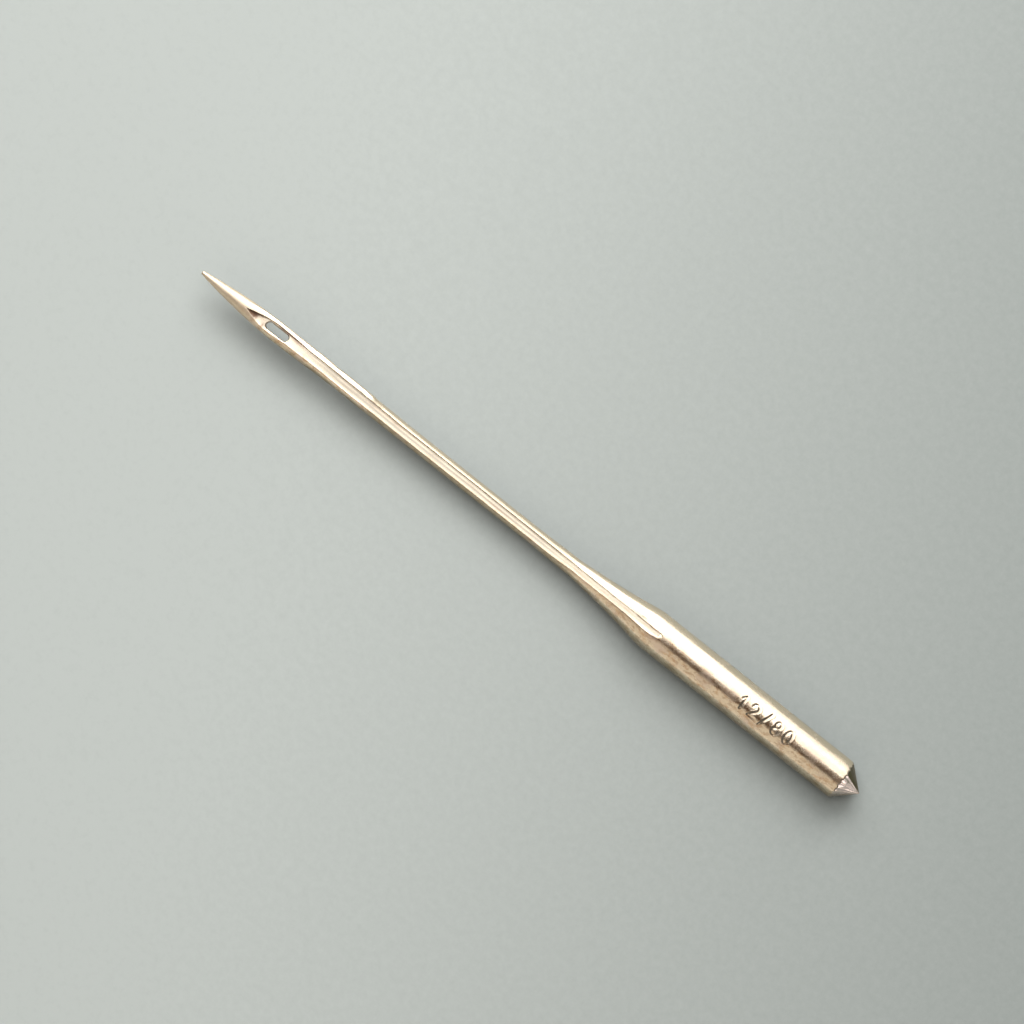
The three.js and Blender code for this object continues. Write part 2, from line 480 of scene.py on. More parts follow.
@dataclass(frozen=True)
class Point:
    """The slim ogive in front of the eye, and how flat the wire is pressed round the eye."""

    at: Stations
    start_radius: float
    length: float = 4.3
    pull_length: float = 1.2
    waist_radius: float = 0.29
    tip_radius: float = 0.1
    tip_pull: float = 0.085
    flatness_at_eye: float = 0.74
    press_to_blade: float = 4.24
    press_to_tip: float = 3.44

    def outline(self) -> Array:
        """Radius against place: an ogive that ends in a small round tip.

        Returns:
            Points of place and radius.
        """
        tip = self.at.tip
        ogive = curve(
            (self.at.eye_middle, self.start_radius),
            (tip - self.length + self.pull_length, self.start_radius),
            (tip - self.pull_length, self.waist_radius),
            (tip - self.tip_radius, self.tip_radius),
        )
        end = curve((tip - self.tip_radius, self.tip_radius), (tip, self.tip_pull), (tip, 0.0))
        return np.vstack([ogive[1:], end[1:]])

    def flatness(self, x: Array) -> Array:
        """Thickness as a share of width: a cosine dip round the eye, longer towards the blade.

        Args:
            x: places along the needle.

        Returns:
            Shares of the width.
        """
        reach = np.where(x < self.at.eye_middle, self.press_to_blade, self.press_to_tip)
        away = np.minimum(np.abs(x - self.at.eye_middle) / reach, 1.0)
        return 1.0 - (1.0 - self.flatness_at_eye) * (0.5 + 0.5 * np.cos(np.pi * away))


@dataclass(frozen=True)
class LongGroove:
    """The thread groove in the front, from the shoulder to a pointed pocket below the eye."""

    at: Stations
    half: float = 0.23
    shoulder_half: float = 0.155
    root_share: float = 0.95
    pocket_half: float = 0.32
    pocket_below_eye: float = 1.22
    lead_out: float = 1.5
    end_depth: float = 0.08
    lip_length: float = 0.15
    root_floor: float = 0.235
    root_length: float = 0.45
    root_bend: float = 2.4
    blade_floor: float = 0.25
    eye_floor: float = 0.24
    pocket_floor: float = 0.16
    pocket_lip: float = 0.36
    wall_height: float = 0.12
    foot: float = 0.91
    floor_curve: float = 0.3
    end_share: float = 0.8
    edge_rounding: float = 0.016
    middles: tuple[float, ...] = (0.05, 0.068, 0.04, -0.015, 0.015)
    middle_before_eye: float = 2.0
    wander: Ripple = Ripple(11, 9.0, 0.008)
    wander_stops: Pair = (-3.0, -1.0)
    shoulder_to: Pair = (0.8, -1.0)
    end_points: int = 20

    @property
    def pocket_tip(self) -> float:
        """Place of the pocket's point."""
        return self.at.eye_front + self.pocket_below_eye

    def half_at(self, x: Array) -> Array:
        """Half of the width: round at the shoulder, even on the blade, wider at the eye, then pointed.

        Args:
            x: places along the needle.

        Returns:
            Half widths.
        """
        narrow = self.at.eye_back - self.lead_out
        bend = self.lead_out / 2.0
        turn = np.linspace(0.0, np.pi / 2.0, self.end_points)
        end = np.stack([
            self.at.groove_back + self.shoulder_half * (1.0 - np.cos(turn)),
            self.shoulder_half * np.sin(turn),
        ], axis=1)
        widening = curve(
            (narrow, self.half),
            (narrow + bend, self.half),
            (self.at.eye_back - bend, self.pocket_half),
            (self.at.eye_middle, self.pocket_half),
        )
        pocket = curve(
            (self.at.eye_middle, self.pocket_half),
            (self.at.eye_front, self.pocket_half),
            (self.pocket_tip, 0.0),
        )
        blade = [(self.at.blade_back, self.half * self.root_share), (narrow, self.half)]
        line = np.vstack([end, blade, widening[1:], pocket[1:]])
        return np.maximum(on_line(x, line, 0.0), LEAST_HALF)

    def floor_at(self, x: Array) -> Array:
        """Height of the floor: down the shoulder, level to the eye, lower past it, up to the pocket's tip.

        Args:
            x: places along the needle.

        Returns:
            Heights, well above the needle outside the groove.
        """
        axis = self.at.axis
        top = axis + self.at.shank_radius
        lip = (self.at.groove_back, top)
        end = (self.at.groove_back + self.lip_length, top - self.end_depth)
        root = (self.at.blade_back + self.root_length, axis + self.root_floor)
        halfway = (0.5 * (end[0] + root[0]), 0.5 * (end[1] + root[1]))
        pocket = curve(
            (self.at.eye_front, axis + self.pocket_floor),
            (self.pocket_tip, axis + self.pocket_floor),
            (self.pocket_tip, axis + self.pocket_lip),
        )
        line = np.vstack([
            [lip, end],
            curve(halfway, root, (root[0] + self.root_bend, axis + self.blade_floor)),
            [(self.at.eye_back, axis + self.eye_floor)],
            pocket,
        ])
        return on_line(x, line, axis + 2.0 * self.at.shank_radius)

    def middle_at(self, x: Array) -> Array:
        """Middle of the groove: left of the needle's middle at the shoulder, wandering on the blade.

        Args:
            x: places along the needle.

        Returns:
            Places across the needle.
        """
        places = [
            self.at.groove_back,
            self.at.blade_back,
            self.at.scarf_back,
            self.at.eye_back - self.middle_before_eye,
            self.at.eye_back,
        ]
        on_blade = 1.0 - ease(x, self.wander_stops, self.at.eye_back)
        return np.interp(x, places, self.middles) + on_blade * self.wander.heights(x)

    def from_foot(self, x: Array, y: Array) -> Array:
        """Distance from the foot of the right wall, in half widths of the groove."""
        return (y - self.middle_at(x)) / self.half_at(x) + self.foot

    def surface(self, x: Array, y: Array) -> Array:
        """Heights of the trough: a steep right wall, and from its foot a floor that rises to the left.

        The wall is a parabola. The floor rises by (1 - c) q + c q³ of the wall height, q being the share
        of the way across and c its curve, and by a little less on the shoulder.

        Args:
            x: places along the needle.
            y: places across it.

        Returns:
            The trough's heights.
        """
        away = self.from_foot(x, y)
        share = np.maximum(away, 0.0) / (1.0 + self.foot)
        wall = (np.minimum(away, 0.0) / (1.0 - self.foot)) ** 2
        rise = (1.0 - self.floor_curve) * share + self.floor_curve * share**3
        taper = ease(x, (self.at.groove_back, self.at.blade_back))
        lower = self.end_share + (1.0 - self.end_share) * taper
        return self.floor_at(x) + self.wall_height * (lower * rise + wall)

    def on_shoulder(self, x: Array) -> Array:
        """Share that is 1 where the groove runs down the shoulder and 0 on the blade."""
        return ease(x, self.shoulder_to, self.at.blade_back)


@dataclass(frozen=True)
class GrooveDirtAndLight:
    """What the long groove shows: painted highlights as lines of bright plate, brown grime, and painted
    shade.
    """

    at: Stations
    groove: LongGroove
    shoulder_shine: float = 0.25
    # Painted highlights: bright lines of plate on the groove's floor and wall, and more of it near the eye
    floor_highlight_line: Pair = (0.52, 0.22)
    floor_highlight: float = 0.36
    floor_highlight_waves: Ripple = Ripple(41, 2.1, 0.12)
    scarf_less: float = 0.4
    scarf_from: Pair = (0.0, 2.0)
    wall_line: Pair = (0.0, 0.12)
    wall_highlight: float = 0.35
    shoulder_less: float = 0.7
    eye_highlight: float = 0.25
    eye_highlight_from: Pair = (-2.0, -0.5)
    # Brown grime with painted shade in the pocket's point; painted shade in the line at the foot of the
    # wall and in the patch behind the eye
    pocket_along: Band = Band((0.42, 0.66), (0.02, -0.1))
    pocket_across: Band = Band((-0.24, -0.16), (0.17, 0.10))
    foot_line: Pair = (0.02, 0.2)
    foot_least: float = 0.02
    foot_by_eye: float = 0.8
    foot_below_eye: float = 0.5
    foot_waves: Ripple = Ripple(23, 2.3, 0.1)
    by_eye: Band = Band((-1.1, -0.2), (0.2, -0.2))
    below_eye_from: Pair = (0.1, 0.5)
    stain: Spot = Spot(0.55, (0.12, 0.07), (0.2, 0.12))
    wall_shade: Spot = Spot(0.45, (-0.45, 0.4), (-0.2, 0.09))

    def highlighted(self, x: Array, y: Array) -> Array:
        """Share of plate painted bright as highlights: bell curves on floor and wall, and some all over by
        the eye.

        Args:
            x: places along the needle.
            y: places across it.

        Returns:
            Shares of bright plate.
        """
        away = self.groove.from_foot(x, y)
        floor = bell(away, *self.floor_highlight_line) * (self.floor_highlight + self.floor_highlight_waves.heights(x))
        floor = floor * (1.0 - self.scarf_less * ease(x, self.scarf_from, self.at.scarf_back))
        wall = self.wall_highlight * bell(away, *self.wall_line)
        lines = (floor + wall) * (1.0 - self.shoulder_less * self.groove.on_shoulder(x))
        return np.maximum(lines, self.eye_highlight * ease(x, self.eye_highlight_from, self.at.eye_back))

    def dull(self, x: Array, y: Array) -> Array:
        """Share of the recess that looks dull: less on the shoulder and along the painted highlights."""
        shine = 1.0 - self.shoulder_shine * self.groove.on_shoulder(x)
        return shine * (1.0 - self.highlighted(x, y))

    def dirt_and_shade(self, x: Array, y: Array) -> Array:
        """Share of grime and painted shade: both at the pocket's point, shade along the wall's foot and
        behind the eye, and a stain.

        Args:
            x: places along the needle.
            y: places across it.

        Returns:
            Shares of grime and painted shade.
        """
        front, back = self.at.eye_front, self.at.eye_back
        pocket = self.pocket_along.share(x, front, self.groove.pocket_tip) * self.pocket_across.share(y)
        by_eye = self.by_eye.share(x, back, self.at.eye_middle)
        below = ease(x, self.below_eye_from, front)
        amount = self.foot_least + self.foot_by_eye * by_eye + self.foot_below_eye * below
        line = (amount + self.foot_waves.heights(x)) * bell(self.groove.from_foot(x, y), *self.foot_line)
        spots = [self.stain.share(x - front, y), self.wall_shade.share(x - back, y)]
        return np.clip(np.maximum.reduce([pocket, line, *spots]), 0.0, 1.0)


@dataclass(frozen=True)
class Eye:
    """The slot with round ends that the thread goes through, and its rounded rims."""

    at: Stations
    rim: float = 0.055
    squareness: float = 2.0

    def reach(self, x: Array) -> Array:
        """How far a place lies past the slot's straight sides, along the needle."""
        straight = 0.5 * (self.at.eye_front - self.at.eye_back) - self.at.eye_half
        return np.maximum(np.abs(x - self.at.eye_middle) - straight, 0.0)

    def half_at(self, x: Array) -> Array:
        """Half of the slot's width: even along its sides, round at each end, 0 elsewhere."""
        left = np.maximum(1.0 - (self.reach(x) / self.at.eye_half) ** self.squareness, 0.0)
        return self.at.eye_half * left ** (1.0 / self.squareness)

    def rim_depth(self, x: Array, y: Array) -> Array:
        """Depth that the rim is rounded away: a quarter circle over the distance from the slot's edge.

        Args:
            x: places along the needle.
            y: places across it.

        Returns:
            Depths.
        """
        power = self.squareness
        gap = (self.reach(x) ** power + np.abs(y) ** power) ** (1.0 / power) - self.at.eye_half
        left = self.rim - np.clip(gap, 0.0, self.rim)
        return self.rim - np.sqrt(self.rim**2 - left**2)


@dataclass(frozen=True)
class Scarf:
    """The long hollow in the back above the eye, where the hook passes."""

    at: Stations
    blade_radius: float
    above_eye: float = 0.3
    entry: float = 1.6
    depth: float = 0.2

    def surface(self, x: Array) -> Array:
        """Heights of the hollow: shallow from the blade, steep near the eye, far below elsewhere.

        Args:
            x: places along the needle.

        Returns:
            Heights of the cut.
        """
        start = self.at.scarf_back
        stop = self.at.eye_back - self.above_eye
        back = self.at.axis - self.blade_radius
        deepest = back + self.depth
        entry = stop - self.entry
        line = np.vstack([
            curve(
                (start, back),
                (start + self.entry, back),
                (0.5 * (stop + start), deepest),
                (entry, deepest),
            ),
            curve((entry, deepest), (stop - self.entry / 2.0, deepest), (stop, back))[1:],
        ])
        return on_line(x, line, FAR_BELOW)


@dataclass(frozen=True)
class ShortGroove:
    """The groove in the back that runs through the eye and out in the scarf."""

    at: Stations
    half: float = 0.23
    above_eye: float = 1.9
    below_eye: float = 0.9
    floor: float = 0.25
    wall_height: float = 0.25

    def surface(self, x: Array, y: Array) -> Array:
        """Heights of a trough turned over: its floor less the wall height times the fourth power across.

        Args:
            x: places along the needle.
            y: places across it.

        Returns:
            Heights of the cut, far below elsewhere.
        """
        start = self.at.eye_back - self.above_eye
        tip = self.at.eye_front + self.below_eye
        line = np.vstack([
            [(start, self.half)],
            curve((self.at.eye_middle, self.half), (self.at.eye_front, self.half), (tip, 0.0)),
        ])
        half = np.maximum(on_line(x, line, 0.0), LEAST_HALF)
        trough = self.at.axis - self.floor - self.wall_height * (y / half) ** 4
        return np.where((x > start) & (x < tip), trough, FAR_BELOW)


@dataclass(frozen=True)
class SizeMark:
    """A plain size number stamped into the front of the shank, read from the point's side to the butt's."""

    start: float = 0.38
    baseline: float = 0.33
    height: float = 0.62
    advance: float = 0.66
    cells: float = 5.2
    stroke: float = 0.075
    depth: float = 0.022
    burr: float = 0.003
    burr_away: float = 1.5
    burr_width: float = 0.45
    margin: float = 0.3
    far: float = 1.0

    @property
    def end(self) -> float:
        """Place just past the last figure."""
        return self.start - self.cells * self.advance

    @staticmethod
    def arc(centre: Pair, radii: Pair, start: float = 0.0, stop: float = 360.0, count: int = 15) -> Array:
        """Points of an elliptic arc between two angles in degrees, all round if none are given."""
        turn = np.radians(np.linspace(start, stop, count))
        return np.stack([centre[0] + radii[0] * np.cos(turn), centre[1] + radii[1] * np.sin(turn)], axis=1)

    def strokes(self) -> list[Array]:
        """Strokes of the figures 1 2 / 8 0, each drawn in a cell 0.6 by 1, then moved and scaled.

        Returns:
            One array of points for each stroke, along and up from the number's start.
        """
        one = [np.array([(0.12, 0.78), (0.34, 1.0), (0.34, 0.0)])]
        two = [np.vstack([self.arc((0.3, 0.72), (0.27, 0.28), 170.0, -40.0), [(0.03, 0.0), (0.6, 0.0)]])]
        slash = [np.array([(0.05, -0.12), (0.5, 1.1)])]
        eight = [self.arc((0.3, 0.76), (0.21, 0.24)), self.arc((0.3, 0.26), (0.27, 0.26))]
        zero = [self.arc((0.3, 0.5), (0.26, 0.5))]
        places = enumerate([one, two, slash, eight, zero])
        step = self.advance / self.height
        return [(line + np.array((step * i, 0.0))) * self.height for i, figure in places for line in figure]

    def distance(self, x: Array, y: Array) -> Array:
        """Distance of each point near the number to the nearest straight bit of its strokes.

        Args:
            x: places along the needle.
            y: places across it.

        Returns:
            Distances in millimetres, large away from the number.
        """
        along, up = np.broadcast_arrays(self.start - x, self.baseline - y)
        strokes = self.strokes()
        low = np.vstack(strokes).min(axis=0) - self.margin
        high = np.vstack(strokes).max(axis=0) + self.margin
        near = (along > low[0]) & (along < high[0]) & (up > low[1]) & (up < high[1])
        points = np.stack([along[near], up[near]], axis=1)[:, None, :]
        starts = np.vstack([stroke[:-1] for stroke in strokes])[None]
        runs = np.vstack([np.diff(stroke, axis=0) for stroke in strokes])[None]
        share = ((points - starts) * runs).sum(2) / (runs**2).sum(2)
        foot = starts + np.clip(share, 0.0, 1.0)[..., None] * runs
        result = np.full(along.shape, self.far)
        result[near] = np.linalg.norm(points - foot, axis=2).min(axis=1)
        return result

    def relief(self, x: Array, y: Array) -> tuple[Array, Array]:
        """Depth of the stamped strokes with a low burr beside them, and the share of stroke.

        Args:
            x: places along the needle.
            y: places across it.

        Returns:
            Depths and shares of stroke.
        """
        away = self.distance(x, y) / self.stroke
        inside = np.clip(1.0 - away, 0.0, 1.0)
        return self.depth * inside - self.burr * bell(away, self.burr_away, self.burr_width), inside


@dataclass(frozen=True)
class PlateWaves:
    """Low waves that polishing and plating leave all over but the flat and the thin ends."""

    height: float = 0.0008
    seed: int = 3
    sines: int = 14
    pitch: Triple = (6.0, 5.0, 5.0)
    phases: float = 6.28
    spread: float = 3.0
    off_flat: Pair = (0.01, 0.12)
    off_axis: Pair = (0.05, 0.4)

    def heights(self, x: Array, y: Array, z: Array, axis: float) -> Array:
        """Heights of the waves: a sum of sines of the place in space, with drawn pitches and phases.

        Args:
            x: places along the needle.
            y: places across it.
            z: heights above the flat.
            axis: height of the needle's axis.

        Returns:
            Heights of the waves.
        """
        rise = z - axis
        draw = np.random.default_rng(self.seed)
        wave = np.zeros_like(y)
        for _ in range(self.sines):
            pitch = draw.normal(0.0, self.pitch)
            phase = self.phases * draw.random()
            wave = wave + np.sin(pitch[0] * x + pitch[1] * y + pitch[2] * rise + phase)
        body = ease(np.hypot(y, rise), self.off_axis)
        return self.height * wave / self.spread * ease(z, self.off_flat) * body


@dataclass(frozen=True)
class TarnishAndShade:
    """Where the plain plate is darker or spotted, by place along the needle and angle round it; the darker
    left flank is painted shade.
    """

    at: Stations
    flash_step: float
    # Painted shade: darker plate along the lower left flank, the side away from the lamps
    flank: float = 0.55
    flank_round: Band = Band((0.68, 1.06), (2.3, 1.9))
    flank_waves: Ripple = Ripple(31, 3.0, 0.2)
    flank_less: float = 0.7
    less_before_eye: float = 1.5
    less_past_eye: float = 0.3
    blade: float = 0.55
    blade_along: Band = Band((-0.8, 0.8), (0.2, -0.2))
    blade_round: Band = Band((-1.1, -0.6), (2.9, 2.0))
    recess_less: float = 1.8
    spots_front: Pair = (-0.3, 0.1)
    spots_back: Pair = (-1.9, -2.5)
    point_less: float = 0.6
    point_from: Pair = (0.0, 1.5)

    def darkening(self, x: Array, turn: Array, recess: Array) -> Array:
        """Share of darker plate: painted shade along the left flank, and darker plate on the plain blade
        outside its groove.

        Args:
            x: places along the needle.
            turn: angle round the axis.
            recess: share of recess.

        Returns:
            Shares of darker plate.
        """
        fewer = ease(x, (self.at.eye_back - self.less_before_eye, self.at.eye_front + self.less_past_eye))
        uneven = 1.0 + self.flank_waves.heights(x)
        flank = self.flank_round.share(turn) * uneven * (1.0 - self.flank_less * fewer)
        along = self.blade_along.share(x, self.at.blade_back, self.flash_step)
        blade = along * self.blade_round.share(turn)
        plain = np.maximum(1.0 - self.recess_less * recess, 0.0)
        return np.maximum(self.flank * flank, self.blade * blade * plain)

    def spotted(self, x: Array, turn: Array) -> Array:
        """Share of tarnished spots: on the left and all over the back, fewer on the point."""
        around = np.maximum(ease(turn, self.spots_front), ease(turn, self.spots_back))
        return around * (1.0 - self.point_less * ease(x, self.point_from, self.at.eye_front))


@dataclass
class Shell:
    """One grid of points, with the shares that its finish reads."""

    points: Array
    shares: dict[Share, Array]
    flipped: bool


@dataclass
class Needle:
    """The whole needle as one closed surface that stands for all its solid sections."""

    at: Stations
    front_core: int = 26
    front_flank: int = 20
    back_flank: int = 12
    back_core: int = 12
    wall_steps: int = 8
    stretch_rows: int = 22
    quarter_rows: int = 13
    place_digits: int = 6
    crowding: float = 1.7
    pole: float = 0.004
    least_away: float = 0.02
    sharp_angle: float = 50.0
    cut_rounding: float = 0.02
    recess_depth: float = 0.12
    shoulder_recess: float = 1.8
    back_recess_depth: float = 0.08
    dirt_and_shade_recess: float = 0.25
    eye_gap: float = 0.02
    front_most: Pair = (0.72, 0.9)
    back_range: Pair = (0.55, 0.97)
    cone: ButtCone = field(init=False)
    shank: Shank = field(init=False)
    blade: Blade = field(init=False)
    point: Point = field(init=False)
    groove: LongGroove = field(init=False)
    dirt_and_light: GrooveDirtAndLight = field(init=False)
    eye: Eye = field(init=False)
    scarf: Scarf = field(init=False)
    short_groove: ShortGroove = field(init=False)
    mark: SizeMark = field(init=False)
    waves: PlateWaves = field(init=False)
    tarnish_and_shade: TarnishAndShade = field(init=False)
    outline: Array = field(init=False)

    def __post_init__(self) -> None:
        """Makes the needle's features and chains the outlines of its stretches."""
        self.cone = ButtCone(self.at)
        self.shank = Shank(self.at, self.cone.end)
        shoulder = Shoulder(self.at, self.shank.front)
        self.blade = Blade(self.at)
        self.point = Point(self.at, self.blade.eye_radius)
        self.groove = LongGroove(self.at)
        self.dirt_and_light = GrooveDirtAndLight(self.at, self.groove)
        self.eye = Eye(self.at)
        self.scarf = Scarf(self.at, self.blade.radius)
        self.short_groove = ShortGroove(self.at)
        self.mark = SizeMark()
        self.waves = PlateWaves()
        self.tarnish_and_shade = TarnishAndShade(self.at, self.blade.step)
        stretches = (self.cone, shoulder, self.blade, self.point)
        self.outline = np.vstack([stretch.outline() for stretch in stretches])

    def stations(self) -> Array:
        """Places of the cross sections: close together where the form turns, wide apart where it runs even.

        Returns:
            Rising places along the needle.
        """
        at = self.at
        rim = self.cone.end
        pocket_tip = self.groove.pocket_tip
        quarter = np.linspace(0.0, np.pi / 2.0, self.quarter_rows)
        eye_end = at.eye_half * (1.0 - np.cos(quarter))
        rim_end = self.eye.rim * (1.0 - np.sin(quarter[:-1:2]))
        tip_end = self.point.tip_radius * (1.0 - np.sin(quarter[:-1]))
        # Start, end and step of each even stretch, from the cone's rim to the tip
        even = [
            (rim - 0.2, rim + 0.24, 0.014),
            (rim + 0.25, self.mark.end, 0.12),
            (self.mark.end, self.mark.start + 0.15, 0.026),
            (self.mark.start + 0.2, at.groove_back - 0.2, 0.15),
            (at.groove_back - 0.1, at.groove_back + 0.5, 0.022),
            (at.groove_back + 0.55, at.blade_back + 0.6, 0.08),
            (at.blade_back + 0.7, at.scarf_back - 0.3, 0.16),
            (at.scarf_back - 0.2, at.eye_back - 1.6, 0.08),
            (at.eye_back - 1.55, at.eye_back - 0.1, 0.045),
            (at.eye_front + 0.1, pocket_tip + 0.1, 0.03),
            (pocket_tip + 0.15, at.tip - self.point.tip_radius, 0.08),
        ]
        shaped = [
            np.linspace(at.butt + self.pole * self.cone.height, rim - 0.22, self.stretch_rows),
            at.eye_back - rim_end,
            at.eye_back + eye_end,
            np.linspace(at.eye_back + at.eye_half, at.eye_front - at.eye_half, self.stretch_rows),
            at.eye_front - eye_end,
            at.eye_front + rim_end,
            at.tip - tip_end[:-1],
        ]
        places = np.concatenate([np.arange(*run) for run in even] + shaped)
        return np.unique(np.round(places, self.place_digits))

    def front_edge(self, x: Array, half: Array, eye: Array) -> Array:
        """Distance from the middle within which the front has close lines: over groove, rails and number.

        Args:
            x: places along the needle.
            half: half of the wire's width.
            eye: half of the eye's width.

        Returns:
            Distances from the middle.
        """
        # Place along the needle and distance there
        line = np.array([
            (self.at.groove_back - 0.3, 0.42),
            (self.at.groove_back + 0.4, 0.3),
            (self.at.blade_back, 0.26),
            (self.at.eye_back - 1.5, 0.27),
            (self.at.eye_back, 0.37),
        ])
        plain, thin = self.front_most
        edge = np.minimum(on_line(x, line), plain * half)
        return np.minimum(np.maximum(edge, eye + self.eye_gap), thin * half)

    def back_edge(self, x: Array, half: Array, height: Array, eye: Array) -> Array:
        """Distance from the middle of the corner that flat or scarf makes with the round wire.

        Args:
            x: places along the needle.
            half: half of the wire's width.
            height: half of the wire's thickness.
            eye: half of the eye's width.

        Returns:
            Distances from the middle.
        """
        cut = np.maximum(self.shank.flat(x), self.scarf.surface(x))
        chord = half * np.sqrt(np.clip(1.0 - ((self.at.axis - cut) / height) ** 2, 0.0, 1.0))
        least, most = self.back_range
        return np.clip(np.maximum(chord, eye + self.eye_gap), least * half, most * half)

    def lines_across(self, x: Array, half: Array, height: Array) -> tuple[Array, Array]:
        """Distances from the middle of the lines along the needle, on the front and then on the back.

        On the front the lines are evenly spaced up to its edge, and from there evenly in angle up to the
        side. On the back they crowd from both sides towards the corner, by a power of their share.

        Args:
            x: places along the needle.
            half: half of the wire's width.
            height: half of the wire's thickness.

        Returns:
            Distances from the front's middle to the side, and from the side to the back's middle.
        """
        eye = self.eye.half_at(x)
        front = self.front_edge(x, half, eye)
        back = self.back_edge(x, half, height, eye)
        even = np.linspace(0.0, 1.0, self.front_core + 1)[None]
        counts = (self.front_flank, self.back_flank, self.back_core)
        flank, under, close = (np.linspace(0.0, 1.0, count + 1)[None, 1:] for count in counts)
        side = np.pi / 2.0
        front_turn = np.arcsin(front / half)
        back_turn = np.arcsin(back / half)
        front_y = np.hstack([
            eye + (front - eye) * even,
            half * np.sin(front_turn + (side - front_turn) * flank),
        ])
        back_y = np.hstack([
            half * np.sin(back_turn + (side - back_turn) * (1.0 - under) ** self.crowding),
            back + (eye - back) * close**self.crowding,
        ])
        return front_y, back_y

    def front_heights(self, x: Array, y: Array, half: Array, height: Array) -> tuple[Array, Array, Array]:
        """Heights of the front: the wire's half ellipse, lowered by groove, eye rim and stamped number.

        Args:
            x: places along the needle.
            y: places across it.
            half: half of the wire's width.
            height: half of the wire's thickness.

        Returns:
            Heights, share of recess and share of stamped stroke.
        """
        power = self.blade.edge_power(x, y)
        crown = self.at.axis + height * np.clip(1.0 - np.abs(y / half) ** power, 0.0, 1.0) ** (1.0 / power)
        z = lower_of(crown, self.groove.surface(x, y), self.groove.edge_rounding)
        stronger = 1.0 + self.shoulder_recess * self.groove.on_shoulder(x)
        recess = np.clip((crown - z) / self.recess_depth * stronger, 0.0, 1.0)
        depth, stroke = self.mark.relief(x, y)
        return z - depth - self.eye.rim_depth(x, y), recess, stroke

    def back_heights(self, x: Array, y: Array, half: Array, height: Array) -> tuple[Array, Array]:
        """Heights of the back: the wire's half ellipse, raised by flat, scarf, short groove and eye rim.

        Args:
            x: places along the needle.
            y: places across it.
            half: half of the wire's width.
            height: half of the wire's thickness.

        Returns:
            Heights and share of recess.
        """
        cut = self.at.axis - height * np.sqrt(np.clip(1.0 - (y / half) ** 2, 0.0, 1.0))
        for level in (self.shank.flat(x), self.scarf.surface(x)):
            cut = higher_of(cut, level, self.cut_rounding)
        z = higher_of(cut, self.short_groove.surface(x, y), self.groove.edge_rounding)
        recess = np.clip((z - cut) / self.back_recess_depth, 0.0, 1.0)
        return z + self.eye.rim_depth(x, y), recess

    def roughened(self, x: Array, y: Array, z: Array) -> tuple[Array, Array, Array]:
        """Adds what grinding and plating leave. Each point moves along its line from the axis.

        Args:
            x: places along the needle.
            y: places across it.
            z: heights.

        Returns:
            New places across, new heights and each point's angle round the axis.
        """
        rise = z - self.at.axis
        turn = np.arctan2(y, rise)
        away = np.maximum(np.hypot(y, rise), self.least_away)
        scale = self.cone.ground_scale(x, turn) + self.waves.heights(x, y, z, self.at.axis) / away
        return y * scale, self.at.axis + rise * scale, turn

    def shell(self, side: Side) -> Shell:
        """One half: at each station a line of points from the front's middle round the side to the back's.

        Args:
            side: which half.

        Returns:
            The half's grid.
        """
        x = self.stations()[:, None]
        wire = on_line(x, self.outline)
        half = wire + (self.blade.flash(x) if side is Side.RIGHT else 0.0)
        height = wire * self.point.flatness(x)
        front_y, back_y = (side.value * y for y in self.lines_across(x, half, height))
        front_z, front_recess, stroke = self.front_heights(x, front_y, half, height)
        back_z, back_recess = self.back_heights(x, back_y, half, height)
        y, z, turn = self.roughened(x, np.hstack([front_y, back_y]), np.hstack([front_z, back_z]))
        points = np.stack([np.broadcast_to(x, y.shape), y, z], axis=2)
        none = np.zeros_like(back_z)
        # Brown grime and painted shade in the long groove
        dirt_and_shade = self.dirt_and_light.dirt_and_shade(x, front_y) * np.minimum(front_recess / self.dirt_and_shade_recess, 1.0)
        # The recess is less dull along the groove's painted highlights
        recess = np.hstack([front_recess * self.dirt_and_light.dull(x, front_y), back_recess])
        # The darkening share holds the cone's dark side, darker blade plate and painted shade on the left
        # flank
        shares = {
            Share.RECESS: recess,
            Share.MARK: np.hstack([stroke, none]),
            Share.DIRT_AND_SHADE: np.hstack([dirt_and_shade, none]),
            Share.DARKENING: np.maximum(self.cone.darkening(x, turn), self.tarnish_and_shade.darkening(x, turn, recess)),
            Share.GROUND: self.cone.ground(x, turn),
            Share.MOTTLED: self.tarnish_and_shade.spotted(x, turn) * (1.0 - np.hstack([front_recess, back_recess])),
        }
        return Shell(points, shares, side is Side.RIGHT)

    def eye_wall(self, shell: Shell) -> Shell:
        """The slot's wall on one side: straight lines from the back's rim to the front's, along the slot.

        Args:
            shell: the half whose inner edges the wall joins.

        Returns:
            The wall's grid.
        """
        slack = 1e-5
        x = shell.points[:, 0, 0]
        along = (x >= self.at.eye_back - slack) & (x <= self.at.eye_front + slack)
        low = shell.points[along, -1][:, None, :]
        high = shell.points[along, 0][:, None, :]
        share = np.linspace(0.0, 1.0, self.wall_steps + 1)[None, :, None]
        points = low * (1.0 - share) + high * share
        none = np.zeros(points.shape[:2])
        shares = dict.fromkeys(Share, none) | {Share.RECESS: np.ones_like(none)}
        return Shell(points, shares, shell.flipped)

    @staticmethod
    def grid_faces(rows: int, columns: int, start: int, flipped: bool) -> Array:
        """Quads between neighbouring lines of a grid.

        Args:
            rows: number of rows.
            columns: number of columns.
            start: index of the grid's first point.
            flipped: whether the faces turn the other way.

        Returns:
            Four indices for each quad.
        """
        index = start + np.arange(rows * columns).reshape(rows, columns)
        corners = [index[:-1, :-1], index[1:, :-1], index[1:, 1:], index[:-1, 1:]]
        quads = np.stack(corners, axis=2).reshape(-1, 4)
        return quads[:, ::-1] if flipped else quads

    @staticmethod
    def fan_faces(pole: int, ring: Array, flipped: bool) -> Array:
        """Triangles between a pole and the line of points round it."""
        fan = np.stack([np.full(len(ring) - 1, pole), ring[:-1], ring[1:]], axis=1)
        return fan[:, ::-1] if flipped else fan

